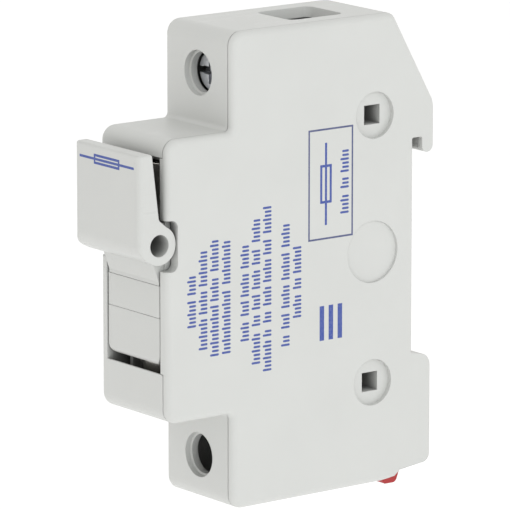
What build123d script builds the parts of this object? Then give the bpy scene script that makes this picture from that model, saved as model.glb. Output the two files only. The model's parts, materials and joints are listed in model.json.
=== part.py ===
"""One-pole DIN-rail fuse holder for a 10 x 38 mm cartridge fuse, with a hinged pull-out carrier.

The origin is the middle of the rail seat: X runs across the module, the front faces -Y and +Z is up.
All sizes are in millimetres. Sketches on Plane.YZ are read as (y, z).
"""

from build123d import *
from math import pi
import os

os.makedirs("parts", exist_ok=True)

# ---- Housing: overall sizes ----
module_width = 17.8
nose_front = -48.3
block_front = -35.7
nose_half_height = 22.5
upper_block_height = 15.6
lower_block_height = 15.5
front_corner_r = 2.3
step_fillet_r = 0.8
side_edge_r = 1.1

# ---- Housing: rail side ----
rail_height = 35.0
rail_play = 0.1
rail_flange_slot = 2.05
hook_back = 4.2
hook_lip_bottom = 15.0
hook_slope_height = 14.1
hook_slope_end = -3.7
foot_back = 3.85
foot_rise = 2.3
sole_end = -6.2
sole_rise = 0.15
heel_start = -3.2
heel_start_rise = 0.7
heel_end = -2.2
heel_rise = 1.6

# ---- Housing: walls and shells ----
cover_thickness = 1.1
cover_edge_r = 1.0
side_wall = 1.8
nose_front_wall = 1.4
nose_top_wall = 1.4
nose_bottom_wall = 1.2
chamber_back = -29.8
seam_groove_width = 0.15
seam_groove_depth = 0.35
shell_gap = 0.1
peg_r = 1.2
peg_length = 5.0
peg_fit = 0.02
peg_places = [(-24.0, 19.2), (-24.0, -19.2), (-6.0, 33.2), (-6.0, -31.8)]
core_size = 5.2
core_pitch = 6.6
core_depth = 12.0

# ---- Housing: openings ----
front_opening_bottom = -14.6
sill_slope_height = 1.2
sill_lip = 0.3
front_opening_top = 19.7
notch_depth = 2.1
notch_bottom = 1.8
notch_top = 9.9
notch_corner_r = 1.2
coupling_hole = 3.1
coupling_recess_r = 3.75
coupling_recess_depth = 0.8
coupling_places = [(-7.55, 22.1), (-7.8, -21.2)]
centre_recess_r = 5.0
centre_recess_depth = 0.4
centre_recess_place = (-7.9, 0.1)

# ---- Terminals ----
screw_offset = 7.85
access_r = 3.6
access_depth = 1.0
access_step_r = 3.2
terminal_front = -33.5
terminal_back = -10.5
terminal_half_width = 5.6
terminal_start = 0.3
terminal_length = 13.6
wire_entry_front = -20.7
wire_entry_back = -10.8
wire_entry_half_width = 4.3
entry_corner_r = 1.0
entry_taper = 8.0

screw_head_r = 3.3
screw_head_height = 2.8
screw_head_front = -33.2
screw_r = 2.5
screw_length = 8.8
screw_pitch = 0.8
screw_turns = 7.0
lower_screw_turns_in = 6.0
thread_clearance = 0.05
drive_slot_width = 1.0
drive_slot_depth = 1.4
drive_cross_width = 1.3
drive_cross_span = 4.2
drive_cross_depth = 1.9

cage_half_width = 5.2
cage_wall = 1.4
cage_nut_wall = 2.2
cage_depth = 13.7
cage_height = 8.0
cage_gap = 0.1
pad_half_width = 3.5
pad_half_height = 3.5
pad_thickness = 1.0
pad_gap = 0.1
pad_groove_r = 6.0
pad_groove_depth = 0.3

# ---- Fuse ----
fuse_r = 5.15
fuse_length = 38.0
fuse_top = 18.0
fuse_y = -40.8
cap_length = 10.0
cap_wall = 0.5
cap_end = 0.5
tube_bore_r = 3.3
element_width = 2.4
element_thickness = 0.25
element_notch_r = 0.7
element_notches = 5
element_notch_pitch = 5.0
solder_r = 2.0
solder_height = 0.8
inner_gap = 0.02

# ---- Contacts ----
strip_thickness = 1.0
strip_half_width = 3.5
jaw_base = -31.9
jaw_tip = -41.8
jaw_height = 8.0
jaw_gap = 0.15
jaw_lead_in = 0.55
jaw_margin = 1.0
shelf_gap = 0.4
tongue_thickness = 1.2
tongue_front = -13.4
tongue_end_gap = 1.0
bend_r = 0.5
jaw_spring_thickness = 0.5
jaw_spring_height = 5.0
jaw_spring_gap = 0.05
jaw_spring_tip = -40.4

# ---- Carrier and handle ----
pivot_y = -45.6
pivot_z = -11.8
panel_front = -48.2
panel_drop = 1.6
panel_edge_r = 1.0
panel_corner_r = 1.8
panel_foot_back = -46.2
hub_r = 2.1
trunnion_r = 1.5
trunnion_length = 0.9
trunnion_clearance = 0.06
carrier_side_gap = 0.3
carrier_wall_front = -47.2
carrier_swing_r = 31.2
carrier_top = 19.3
cheek_back = -36.2
cheek_top = 5.6
cheek_bottom = -9.8
upper_cheek_back = -42.2
fuse_play = 0.2
panel_top = -5.8
toe_half_width = 5.1
toe_thickness = 0.7
toe_back = -39.5
toe_front = -45.3
rib_inner = 4.4
rib_depth = 2.0
rib_height = 8.4
probe_half_width = 5.7
probe_bottom = 9.9
probe_top = 18.2
top_relief = 2.2

handle_side_gap = 0.3
tab_front = -53.3
tab_top = 20.7
tab_bottom = 3.5
tab_top_thickness = 2.4
tab_foot_thickness = 3.7
tab_foot_z = 10.2
tab_corner_r = 3.0
tab_side_r = 0.9
tab_top_r = 0.4
eye_y = -49.5
eye_z = 6.2
eye_r = 1.75
eye_boss_r = 3.1
neck_side_gap = 0.2
neck_top = 9.3
neck_bottom = -0.6
snap_half_width = 3.0
snap_top = 7.0
snap_bottom = 2.0
snap_depth = 0.9
snap_clearance = 0.05
blank_gap = 0.05
lens_peg_r = 1.3

# ---- Rail clip ----
clip_half_width = 5.0
clip_front = -3.4
clip_thickness = 2.4
clip_gap = 0.3
clip_top = -19.0
clip_foot_thickness = 2.5
clip_travel = 2.8
jaw_clip_front = 1.15
jaw_clip_back = 3.0
jaw_clip_top = -15.6
clip_stand_out = 1.55
clip_nose_height = 2.2
clip_nose_back = -2.3
clip_lip_back = 1.0
clip_lip_height = 3.0
clip_lip_thickness = 1.7
window_half_width = 2.2
window_top = -24.2
window_bottom = -33.9
ledge_half_width = 1.9
ledge_top = -32.2
ledge_height = 1.4
spring_wire_r = 0.2
spring_coil_r = 0.95
spring_turns = 8
spring_end_gap = 0.05

# ---- Places that follow from the sizes above ----
half_width = module_width / 2
block_top = nose_half_height + upper_block_height
block_bottom = -nose_half_height - lower_block_height
hook_slope_start = block_top - hook_slope_height
foot_bottom = block_bottom + foot_rise
terminal_inner = nose_half_height + terminal_start
terminal_outer = terminal_inner + terminal_length
screw_height = terminal_inner + screw_offset
shelf_near = terminal_inner + shelf_gap
tongue_end = terminal_outer - tongue_end_gap
clip_bottom = block_bottom - clip_stand_out
clip_lip_top = clip_bottom + clip_lip_height
seam_x = half_width - cover_thickness
cavity_x = half_width - side_wall
nose_inner_front = nose_front + nose_front_wall
chamber_top = nose_half_height - nose_top_wall
chamber_bottom = -nose_half_height + nose_bottom_wall
fuse_bottom = fuse_top - fuse_length
clip_back = clip_front + clip_thickness
cage_back = tongue_front + tongue_thickness + cage_gap + cage_wall
cage_front = cage_back - cage_depth
screw_feed = screw_turns * screw_pitch
lower_screw_feed = lower_screw_turns_in * screw_pitch
blade_inner = fuse_r + jaw_gap
blade_outer = blade_inner + strip_thickness
carrier_half_width = cavity_x - carrier_side_gap
handle_half_width = half_width - handle_side_gap
neck_half_width = carrier_half_width - neck_side_gap


def housing_outline():
    """Side view of the housing: stepped front, sloped shoulder, rail hook and rail foot."""
    seat = rail_height / 2 + rail_play
    corners = [
        (nose_front, -nose_half_height, front_corner_r),
        (block_front, -nose_half_height, step_fillet_r),
        (block_front, block_bottom, front_corner_r),
        (sole_end, block_bottom + sole_rise, 0),
        (heel_start, block_bottom + heel_start_rise, 0),
        (heel_end, block_bottom + heel_rise, 0),
        (foot_back, foot_bottom, 1.4),
        (foot_back, -seat - 0.6, 2.0),
        (0, -seat + 0.2, 0),
        (0, seat, 0.3),
        (rail_flange_slot, seat, 0.3),
        (rail_flange_slot, hook_lip_bottom, 1.0),
        (hook_back, hook_lip_bottom, 1.1),
        (hook_back, hook_slope_start, 0),
        (hook_slope_end, block_top, 1.5),
        (block_front, block_top, front_corner_r),
        (block_front, nose_half_height, step_fillet_r),
        (nose_front, nose_half_height, front_corner_r),
    ]
    with BuildLine() as outline:
        FilletPolyline(
            *[(y, z) for y, z, _ in corners],
            radius=[r for _, _, r in corners],
            close=True,
        )
    make_face(outline.edges())


def box_sketch(low, high, corner_r=0.0, mode=Mode.ADD):
    """Rectangle between two corners of the sketch plane."""
    centre = ((low[0] + high[0]) / 2, (low[1] + high[1]) / 2)
    size = (high[0] - low[0], high[1] - low[1])
    with Locations(centre):
        if corner_r > 0:
            RectangleRounded(*size, corner_r, mode=mode)
        else:
            Rectangle(*size, mode=mode)


def prism(x_low, x_high, low, high, corner_r=0.0, mode=Mode.SUBTRACT):
    """Prism along X over a rectangle given by its (y, z) corners."""
    with BuildSketch(Plane.YZ.offset(x_low)) as profile:
        box_sketch(low, high, corner_r)
    extrude(profile.sketch, amount=x_high - x_low, mode=mode)


def rod(x_low, x_high, place, r, mode=Mode.SUBTRACT):
    """Cylinder along X at a (y, z) place."""
    with BuildSketch(Plane.YZ.offset(x_low)) as profile:
        with Locations(place):
            Circle(r)
    extrude(profile.sketch, amount=x_high - x_low, mode=mode)


def side_marks(face_x, inward):
    """Square coupling holes in shallow round recesses, and the centre recess, of one side wall."""
    for place in coupling_places:
        low = (place[0] - coupling_hole / 2, place[1] - coupling_hole / 2)
        high = (place[0] + coupling_hole / 2, place[1] + coupling_hole / 2)
        prism(-half_width - 1, half_width + 1, low, high)
        depth = inward * coupling_recess_depth
        rod(min(face_x, face_x + depth), max(face_x, face_x + depth), place, coupling_recess_r)
    depth = inward * centre_recess_depth
    rod(min(face_x, face_x + depth), max(face_x, face_x + depth), centre_recess_place, centre_recess_r)


def edges_off_the_rail(face):
    """Outline edges of a side face, without the ones round the rail and the clip."""
    return [e for e in face.edges() if e.center().Y < sole_end or e.center().Z > hook_slope_start]


def nose_cavity(gap=0.0):
    """Side view of the carrier's chamber and its open front, drawn smaller all round by gap."""
    box_sketch((nose_inner_front + gap, chamber_bottom + gap), (chamber_back - gap, chamber_top - gap), 0.8)
    box_sketch(
        (nose_front - 5 + gap, front_opening_bottom + gap),
        (nose_inner_front + 2, front_opening_top - gap),
    )


# ---- Housing tub: the far side wall, the edge walls and the chambers ----
with BuildPart() as housing_tub:
    with BuildSketch(Plane.YZ.offset(-half_width)):
        housing_outline()
    extrude(amount=half_width + seam_x)
    with BuildSketch(Plane.YZ.offset(seam_x - seam_groove_width)):
        housing_outline()
        offset(amount=-seam_groove_depth, kind=Kind.INTERSECTION, mode=Mode.SUBTRACT)
    extrude(amount=seam_groove_width, mode=Mode.SUBTRACT)
    outer_face = housing_tub.faces().sort_by(Axis.X)[0]
    fillet(edges_off_the_rail(outer_face), side_edge_r)
    # Carrier chamber, open to the front
    with BuildSketch(Plane.YZ.offset(-cavity_x)):
        nose_cavity()
    extrude(amount=cavity_x + seam_x, mode=Mode.SUBTRACT)
    # Sill of the opening, sloped down into the chamber
    with BuildSketch(Plane.YZ.offset(-cavity_x)):
        with BuildLine():
            Polyline(
                (nose_front + sill_lip, front_opening_bottom),
                (nose_inner_front + 1, front_opening_bottom),
                (nose_inner_front + 1, front_opening_bottom - sill_slope_height),
                (nose_inner_front, front_opening_bottom - sill_slope_height),
                close=True,
            )
        make_face()
    extrude(amount=cavity_x + seam_x, mode=Mode.SUBTRACT)
    # Notch in the side wall for the handle's eye
    prism(
        -half_width - 1,
        -cavity_x + 1,
        (nose_front - 5, notch_bottom),
        (nose_front + notch_depth, notch_top),
        notch_corner_r,
    )
    for side in (1, -1):
        wall = block_top if side > 0 else -block_bottom
        z_low, z_high = sorted((side * terminal_inner, side * terminal_outer))
        prism(-terminal_half_width, seam_x, (terminal_front, z_low), (terminal_back, z_high))
        # Way for the contact strip from the carrier chamber to the terminal
        z_low, z_high = sorted((side * (terminal_inner + 1), side * (nose_half_height - 2)))
        prism(
            -strip_half_width - 0.3,
            seam_x,
            (jaw_base - 0.4, z_low),
            (jaw_base + strip_thickness + 0.4, z_high),
        )
        # Wire entry in the end face
        with BuildSketch(Plane.XY.offset(side * (terminal_outer - 1))):
            box_sketch(
                (-wire_entry_half_width, wire_entry_front),
                (wire_entry_half_width, wire_entry_back),
                entry_corner_r,
            )
        extrude(amount=side * (wall - terminal_outer + 3), taper=-entry_taper, mode=Mode.SUBTRACT)
        # Stepped screwdriver access in the front face
        with BuildSketch(Plane.XZ.offset(-block_front)):
            with Locations((0, side * screw_height)):
                Circle(access_r)
        extrude(amount=-access_depth, mode=Mode.SUBTRACT)
        with BuildSketch(Plane.XZ.offset(-block_front)):
            with Locations((0, side * screw_height)):
                Circle(access_step_r)
        extrude(amount=-(terminal_front - block_front + 0.5), mode=Mode.SUBTRACT)
    # Cores behind the carrier chamber
    with BuildSketch(Plane.YZ.offset(seam_x)):
        with Locations(((chamber_back - 1) / 2 - 0.2, 0)):
            with GridLocations(core_pitch, core_pitch, 4, 5):
                RectangleRounded(core_size, core_size, 0.5)
    extrude(amount=-core_depth, mode=Mode.SUBTRACT)
    # Channel of the rail clip, with a ledge for its spring
    channel_front = clip_front - clip_gap
    channel_back = clip_back + clip_gap
    channel_x = clip_half_width + clip_gap
    prism(-channel_x, channel_x, (channel_front, block_bottom - 3), (channel_back, clip_top + clip_gap))
    prism(
        -channel_x,
        channel_x,
        (channel_back - 1, clip_top - clip_foot_thickness - clip_travel - clip_gap),
        (hook_back + 2, -rail_height / 2 + 2),
    )
    prism(
        -ledge_half_width,
        ledge_half_width,
        (channel_front - 0.5, ledge_top - ledge_height),
        (clip_back, ledge_top),
        mode=Mode.ADD,
    )
    # Trunnion socket and peg holes
    rod(-cavity_x - trunnion_length - 0.2, -cavity_x, (pivot_y, pivot_z), trunnion_r + trunnion_clearance)
    for place in peg_places:
        rod(seam_x - peg_length - 0.5, seam_x, place, peg_r + peg_fit)
    side_marks(-half_width, 1)
housing_tub.part.label = "housing_tub"
export_step(housing_tub.part, "parts/housing_tub.step")

# ---- Housing cover: the near side wall, with pads that close the chambers ----
with BuildPart() as housing_cover:
    with BuildSketch(Plane.YZ.offset(seam_x)):
        housing_outline()
    extrude(amount=cover_thickness)
    outer_face = housing_cover.faces().sort_by(Axis.X)[-1]
    fillet(edges_off_the_rail(outer_face), cover_edge_r)
    with BuildSketch(Plane.YZ.offset(cavity_x)):
        nose_cavity(shell_gap)
        box_sketch((nose_front - 6, -nose_half_height), (nose_front, nose_half_height), mode=Mode.SUBTRACT)
    extrude(amount=seam_x - cavity_x)
    for side in (1, -1):
        z_low, z_high = sorted((side * (terminal_inner + shell_gap), side * (terminal_outer - shell_gap)))
        prism(
            terminal_half_width,
            seam_x,
            (terminal_front + shell_gap, z_low),
            (terminal_back - shell_gap, z_high),
            mode=Mode.ADD,
        )
    for place in peg_places:
        rod(seam_x - peg_length, seam_x, place, peg_r, mode=Mode.ADD)
    prism(
        cavity_x - 1,
        half_width + 1,
        (nose_front - 5, notch_bottom),
        (nose_front + notch_depth, notch_top),
        notch_corner_r,
    )
    rod(cavity_x, cavity_x + trunnion_length + 0.2, (pivot_y, pivot_z), trunnion_r + trunnion_clearance)
    side_marks(half_width, -1)
housing_cover.part.label = "housing_cover"
export_step(housing_cover.part, "parts/housing_cover.step")


def make_contact(side, jaw_start):
    """Copper contact: a fork for the fuse cap, and a strip that bends back to the terminal's tongue."""
    jaw_end = jaw_start + side * jaw_height
    with BuildPart() as contact:
        with BuildSketch(Plane.XY.offset(min(jaw_start, jaw_end))):
            box_sketch((-blade_outer, jaw_base), (blade_outer, jaw_base + strip_thickness))
            for hand in (1, -1):
                with BuildLine():
                    Polyline(
                        (hand * blade_inner, jaw_base),
                        (hand * blade_inner, jaw_tip + 1.4),
                        (hand * (blade_inner + jaw_lead_in), jaw_tip),
                        (hand * blade_outer, jaw_tip),
                        (hand * blade_outer, jaw_base),
                        close=True,
                    )
                make_face()
        extrude(amount=jaw_height)
        shelf_far = shelf_near + tongue_thickness
        corners = [
            (jaw_base, side * (abs(jaw_end) - 1), 0),
            (jaw_base, side * shelf_far, bend_r + tongue_thickness / 2),
            (tongue_front, side * shelf_far, bend_r),
            (tongue_front, side * tongue_end, 0),
            (tongue_front + tongue_thickness, side * tongue_end, 0),
            (tongue_front + tongue_thickness, side * shelf_near, bend_r + tongue_thickness / 2),
            (jaw_base + strip_thickness, side * shelf_near, bend_r),
            (jaw_base + strip_thickness, side * (abs(jaw_end) - 1), 0),
        ]
        with BuildSketch(Plane.YZ.offset(-strip_half_width)):
            with BuildLine():
                FilletPolyline(
                    *[(y, z) for y, z, _ in corners],
                    radius=[r for _, _, r in corners],
                    close=True,
                )
            make_face()
        extrude(amount=2 * strip_half_width)
    return contact


def make_jaw_spring(middle_z):
    """Steel clip that presses the two blades of a contact together."""
    inner = blade_outer + jaw_spring_gap
    outer = inner + jaw_spring_thickness
    base = jaw_base + strip_thickness + jaw_spring_gap
    with BuildPart() as spring:
        with BuildSketch(Plane.XY.offset(middle_z - jaw_spring_height / 2)):
            box_sketch((-outer, jaw_spring_tip), (outer, base + jaw_spring_thickness), 0.45)
            box_sketch((-inner, jaw_spring_tip - 1), (inner, base), mode=Mode.SUBTRACT)
        extrude(amount=jaw_spring_height)
    return spring


def make_cage(side):
    """Box round the wire and the contact's tongue, threaded for the screw in its front wall."""
    z_low = side * screw_height - cage_height / 2
    with BuildPart() as cage:
        with BuildSketch(Plane.XY.offset(z_low)):
            box_sketch((-cage_half_width, cage_front), (cage_half_width, cage_back), 0.8)
            box_sketch(
                (-cage_half_width + cage_wall, cage_front + cage_nut_wall),
                (cage_half_width - cage_wall, cage_back - cage_wall),
                0.4,
                mode=Mode.SUBTRACT,
            )
        extrude(amount=cage_height)
        with BuildSketch(Plane.XZ.offset(-cage_front + 1)):
            with Locations((0, side * screw_height)):
                Circle(screw_r + thread_clearance)
        extrude(amount=-cage_nut_wall - 2, mode=Mode.SUBTRACT)
    return cage


def make_pad(side, feed):
    """Pressure pad that the screw pushes against the wire, hollowed slightly to centre it."""
    front = screw_head_front + screw_head_height + screw_length + feed + pad_gap
    with BuildPart() as pad:
        with BuildSketch(Plane.XZ.offset(-front)):
            with Locations((0, side * screw_height)):
                RectangleRounded(2 * pad_half_width, 2 * pad_half_height, 0.5)
        extrude(amount=-pad_thickness)
        with BuildSketch(Plane.XY.offset(side * screw_height - pad_half_height)):
            with Locations((0, front + pad_thickness - pad_groove_depth + pad_groove_r)):
                Circle(pad_groove_r)
        extrude(amount=2 * pad_half_height, mode=Mode.SUBTRACT)
    return pad


def make_screw(side, feed):
    """Terminal screw with a combined slot and cross drive, turned in by feed."""
    head_front = screw_head_front + feed
    head_back = head_front + screw_head_height
    with BuildPart() as screw:
        with BuildSketch(Plane.XZ.offset(-head_front)):
            with Locations((0, side * screw_height)):
                Circle(screw_head_r)
        extrude(amount=-screw_head_height)
        chamfer(screw.edges().group_by(Axis.Y)[0], 0.35)
        with BuildSketch(Plane.XZ.offset(-head_back)):
            with Locations((0, side * screw_height)):
                Circle(screw_r)
        extrude(amount=-screw_length)
        chamfer(screw.edges().group_by(Axis.Y)[-1], 0.4)
        with BuildSketch(Plane.XZ.offset(-head_front)):
            with Locations((0, side * screw_height)):
                Rectangle(2 * screw_head_r + 1, drive_slot_width)
        extrude(amount=-drive_slot_depth, mode=Mode.SUBTRACT)
        with BuildSketch(Plane.XZ.offset(-head_front)):
            with Locations((0, side * screw_height)):
                Rectangle(drive_cross_span, drive_cross_width)
                Rectangle(drive_cross_width, drive_cross_span)
        extrude(amount=-drive_cross_depth, taper=8, mode=Mode.SUBTRACT)
    return screw


def make_cap(end_z, inward):
    """Fuse end cap: a drawn cup over the tube, with its closed end at end_z."""
    with BuildPart() as cap:
        with BuildSketch(Plane.XY.offset(end_z)):
            with Locations((0, fuse_y)):
                Circle(fuse_r)
        extrude(amount=inward * cap_length)
        rim = cap.faces().sort_by(Axis.Z)[0 if inward > 0 else -1]
        fillet(rim.edges(), 0.45)
        with BuildSketch(Plane.XY.offset(end_z + inward * cap_end)):
            with Locations((0, fuse_y)):
                Circle(fuse_r - cap_wall)
        extrude(amount=inward * cap_length, mode=Mode.SUBTRACT)
    return cap


# ---- Contacts, springs, cages, pads and screws of the two terminals; the lower screw is turned in ----
upper_jaw_start = fuse_top - jaw_margin - jaw_height
lower_jaw_start = fuse_bottom + jaw_margin + jaw_height
terminals = (
    ("upper", 1, upper_jaw_start, 0),
    ("lower", -1, lower_jaw_start, lower_screw_feed),
)
for name, side, jaw_start, feed in terminals:
    pieces = {
        "contact": make_contact(side, jaw_start),
        "contact_spring": make_jaw_spring(jaw_start + side * jaw_height / 2),
        "clamp_cage": make_cage(side),
        "clamp_pad": make_pad(side, feed),
        "terminal_screw": make_screw(side, feed),
    }
    for kind, piece in pieces.items():
        piece.part.label = f"{kind}_{name}"
        export_step(piece.part, f"parts/{kind}_{name}.step")

# ---- Fuse: caps, tube, element, solder and filler ----
for name, end_z, inward in (("upper", fuse_top, -1), ("lower", fuse_bottom, 1)):
    cap = make_cap(end_z, inward)
    cap.part.label = f"fuse_cap_{name}"
    export_step(cap.part, f"parts/fuse_cap_{name}.step")

tube_r = fuse_r - cap_wall - inner_gap
tube_low = fuse_bottom + cap_end + inner_gap
tube_length = fuse_length - 2 * cap_end - 2 * inner_gap
with BuildPart() as fuse_tube:
    with BuildSketch(Plane.XY.offset(tube_low)):
        with Locations((0, fuse_y)):
            Circle(tube_r)
            Circle(tube_bore_r, mode=Mode.SUBTRACT)
    extrude(amount=tube_length)
fuse_tube.part.label = "fuse_tube"
export_step(fuse_tube.part, "parts/fuse_tube.step")

solder_low = fuse_bottom + cap_end
solder_top = fuse_top - cap_end
element_low = solder_low + solder_height
element_length = solder_top - solder_height - element_low
with BuildPart() as fuse_element:
    with BuildSketch(Plane.XZ.offset(-fuse_y - element_thickness / 2)):
        with Locations((0, element_low + element_length / 2)):
            Rectangle(element_width, element_length)
            with GridLocations(element_width, element_notch_pitch, 2, element_notches):
                Circle(element_notch_r, mode=Mode.SUBTRACT)
    extrude(amount=element_thickness)
fuse_element.part.label = "fuse_element"
export_step(fuse_element.part, "parts/fuse_element.step")

with BuildPart() as fuse_solder:
    for start in (solder_low, solder_top - solder_height):
        with BuildSketch(Plane.XY.offset(start)):
            with Locations((0, fuse_y)):
                Circle(solder_r)
        extrude(amount=solder_height)
fuse_solder.part.label = "fuse_solder"
export_step(fuse_solder.part, "parts/fuse_solder.step")

with BuildPart() as fuse_filler:
    with BuildSketch(Plane.XY.offset(element_low + inner_gap)):
        with Locations((0, fuse_y)):
            Circle(tube_bore_r - inner_gap)
    extrude(amount=element_length - 2 * inner_gap)
    with BuildSketch(Plane.XY.offset(element_low)):
        with Locations((0, fuse_y - element_thickness)):
            Rectangle(element_width + 2 * inner_gap, 3 * element_thickness)
    extrude(amount=element_length, mode=Mode.SUBTRACT)
fuse_filler.part.label = "fuse_filler"
export_step(fuse_filler.part, "parts/fuse_filler.step")

# ---- Fuse carrier: swings about its trunnions, and cradles the fuse ----
with BuildPart() as fuse_carrier:
    with BuildSketch(Plane.YZ.offset(-carrier_half_width)):
        with BuildLine():
            Polyline(
                (carrier_wall_front, carrier_top),
                (carrier_wall_front, panel_top),
                (panel_front, panel_top),
                (panel_front, pivot_z - panel_drop + panel_edge_r),
                (panel_front + panel_edge_r, pivot_z - panel_drop + panel_edge_r),
                (panel_front + panel_edge_r, pivot_z - panel_drop),
                (panel_foot_back, pivot_z - panel_drop),
                (pivot_y, pivot_z),
                (pivot_y, cheek_bottom),
                (cheek_back, cheek_bottom),
                (cheek_back, cheek_top),
                (upper_cheek_back, cheek_top),
                (upper_cheek_back, fuse_top + fuse_play),
                (cheek_back, fuse_top + fuse_play),
                (cheek_back, carrier_top),
                close=True,
            )
        make_face()
        with Locations((pivot_y, pivot_z)):
            Circle(hub_r)
        with Locations((panel_front + panel_edge_r, pivot_z - panel_drop + panel_edge_r)):
            Circle(panel_edge_r)
        with Locations((pivot_y, pivot_z)):
            Circle(carrier_swing_r, mode=Mode.INTERSECT)
    extrude(amount=2 * carrier_half_width)
    # Side ribs and toe that hold the fuse's lower cap
    toe_low = fuse_bottom - fuse_play - toe_thickness
    for hand in (1, -1):
        x_low, x_high = sorted((hand * rib_inner, hand * toe_half_width))
        prism(
            x_low,
            x_high,
            (toe_front, toe_low),
            (toe_front + rib_depth, toe_low + rib_height),
            mode=Mode.ADD,
        )
    prism(
        -toe_half_width,
        toe_half_width,
        (toe_front, toe_low),
        (toe_back, toe_low + toe_thickness),
        mode=Mode.ADD,
    )
    # Seat of the fuse
    with BuildSketch(Plane.XY.offset(fuse_bottom - fuse_play)):
        with Locations((0, fuse_y)):
            Circle(fuse_r + fuse_play)
    extrude(amount=fuse_length + 2 * fuse_play, mode=Mode.SUBTRACT)
    # The seat is open to the back, so that the fuse can be pushed in and meets the contacts
    seat_mouth = fuse_r - 0.35
    prism(
        -seat_mouth,
        seat_mouth,
        (fuse_y, pivot_z - hub_r - 1),
        (cheek_back + 1, fuse_top + fuse_play),
    )
    # Opening in front of the fuse's upper cap
    prism(
        -probe_half_width,
        probe_half_width,
        (carrier_wall_front - 1, probe_bottom),
        (fuse_y, probe_top),
    )
    prism(
        -probe_half_width,
        probe_half_width,
        (carrier_wall_front - 1, probe_top - 1),
        (carrier_wall_front + top_relief, carrier_top + 1),
    )
    # Rounded lower corners of the panel
    corner_x = carrier_half_width - panel_corner_r
    corner_z = pivot_z - panel_drop + panel_corner_r
    for hand in (1, -1):
        with BuildSketch(Plane.XZ.offset(-panel_foot_back)):
            with Locations((hand * (corner_x + panel_corner_r / 2), corner_z - panel_corner_r / 2)):
                Rectangle(panel_corner_r, panel_corner_r)
            with Locations((hand * corner_x, corner_z)):
                Circle(panel_corner_r, mode=Mode.SUBTRACT)
        extrude(amount=panel_foot_back - panel_front + 1, mode=Mode.SUBTRACT)
    # Window for the handle's snap and for the blank's peg
    prism(
        -snap_half_width - snap_clearance,
        snap_half_width + snap_clearance,
        (carrier_wall_front - 1, snap_bottom - snap_clearance),
        (fuse_y, snap_top + snap_clearance),
    )
    with BuildSketch(Plane.XZ.offset(-carrier_wall_front)):
        with Locations((0, (panel_top + neck_bottom) / 2)):
            Circle(lens_peg_r + snap_clearance)
    extrude(amount=-2, mode=Mode.SUBTRACT)
    for hand in (1, -1):
        start = hand * (carrier_half_width - 0.5)
        end = hand * (cavity_x + trunnion_length)
        rod(min(start, end), max(start, end), (pivot_y, pivot_z), trunnion_r, mode=Mode.ADD)
fuse_carrier.part.label = "fuse_carrier"
export_step(fuse_carrier.part, "parts/fuse_carrier.step")

# ---- Pull handle: the finger tab, the eye for a tie pin, and the neck ----
with BuildPart() as pull_handle:
    with BuildSketch(Plane.YZ.offset(-handle_half_width)):
        with BuildLine():
            FilletPolyline(
                (tab_front, tab_top),
                (tab_front + tab_top_thickness, tab_top),
                (tab_front + tab_foot_thickness, tab_foot_z),
                (eye_y + eye_boss_r * 0.85, eye_z + eye_boss_r * 0.55),
                (eye_y, eye_z),
                (eye_y + 0.2, tab_bottom),
                (tab_front, tab_bottom),
                radius=[0, 0, 0.8, 0, 0, 0, tab_corner_r],
                close=True,
            )
        make_face()
        with Locations((eye_y, eye_z)):
            Circle(eye_boss_r)
    extrude(amount=2 * handle_half_width)
    with BuildSketch(Plane.XY.offset(eye_z - 2 * eye_boss_r)):
        box_sketch((-handle_half_width, tab_front), (handle_half_width, pivot_y), tab_side_r)
    extrude(amount=tab_top - eye_z + 3 * eye_boss_r, mode=Mode.INTERSECT)
    fillet(pull_handle.edges().group_by(Axis.Z)[-1], tab_top_r)
    with BuildSketch(Plane.YZ.offset(-neck_half_width)):
        with BuildLine():
            Polyline(
                (eye_y, neck_top),
                (eye_y, tab_bottom),
                (panel_front, neck_bottom + 0.6),
                (panel_front, neck_bottom),
                (carrier_wall_front, neck_bottom),
                (carrier_wall_front, neck_top),
                close=True,
            )
        make_face()
    extrude(amount=2 * neck_half_width)
    # The eye is as deep as its notches, but flush with the carrier's wall between them
    prism(
        -carrier_half_width - carrier_side_gap / 2,
        carrier_half_width + carrier_side_gap / 2,
        (carrier_wall_front, eye_z - eye_boss_r - 1),
        (pivot_y, eye_z + eye_boss_r + 1),
    )
    prism(
        -snap_half_width,
        snap_half_width,
        (carrier_wall_front - 0.5, snap_bottom),
        (carrier_wall_front + snap_depth, snap_top),
        mode=Mode.ADD,
    )
    rod(-half_width - 1, half_width + 1, (eye_y, eye_z), eye_r)
pull_handle.part.label = "pull_handle"
export_step(pull_handle.part, "parts/pull_handle.step")

# ---- Blank of the indicator window ----
with BuildPart() as indicator_blank:
    prism(
        -carrier_half_width + blank_gap,
        carrier_half_width - blank_gap,
        (panel_front, panel_top + blank_gap),
        (carrier_wall_front, neck_bottom - blank_gap),
        mode=Mode.ADD,
    )
    with BuildSketch(Plane.XZ.offset(-carrier_wall_front)):
        with Locations((0, (panel_top + neck_bottom) / 2)):
            Circle(lens_peg_r)
    extrude(amount=-snap_depth)
indicator_blank.part.label = "indicator_blank"
export_step(indicator_blank.part, "parts/indicator_blank.step")

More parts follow.
